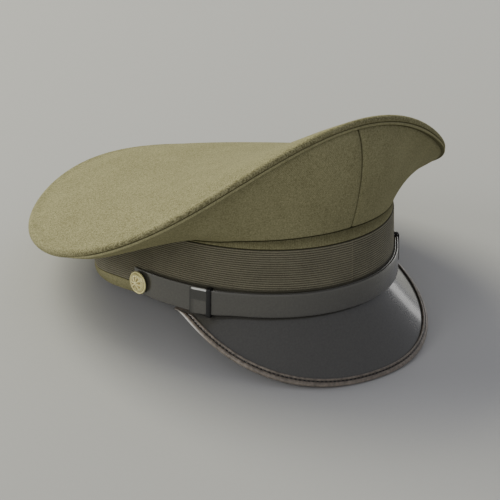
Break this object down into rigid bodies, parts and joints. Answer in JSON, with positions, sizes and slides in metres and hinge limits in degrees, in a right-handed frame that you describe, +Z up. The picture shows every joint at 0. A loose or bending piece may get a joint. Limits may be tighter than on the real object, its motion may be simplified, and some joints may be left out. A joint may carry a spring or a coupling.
{
  "type": "peaked service cap",
  "caption": "Soft cloth cap with a wide saddle-shaped crown, ribbed band, patent chin strap on side buttons and a bound, sloping patent peak.",
  "frame": {"origin": "middle of the footprint's bounding box, on the floor the cap lies on", "axes": "+Z up, the peak points to -Y, the wearer's left is +X"},
  "size_m": [0.2754, 0.2858, 0.1583],
  "materials": {
    "crown_cloth": "matte wool twill",
    "braid": "finely ribbed, slight sheen",
    "patent_leather": "high gloss patent",
    "binding_leather": "satin",
    "gilt_metal": "polished"
  },
  "bodies": {
    "root": {"crown_top": "crown_cloth", "rim_welt": "crown_cloth", "side_panel_right": "crown_cloth", "side_panel_left": "crown_cloth", "head_band": "crown_cloth", "braid_band": "braid", "peak": "patent_leather", "peak_binding": "binding_leather", "chin_strap_lower": "patent_leather", "chin_strap_upper": "patent_leather", "strap_keeper_right": "patent_leather", "strap_keeper_left": "patent_leather", "button_right": "gilt_metal", "button_left": "gilt_metal"}
  },
  "joints": []
}
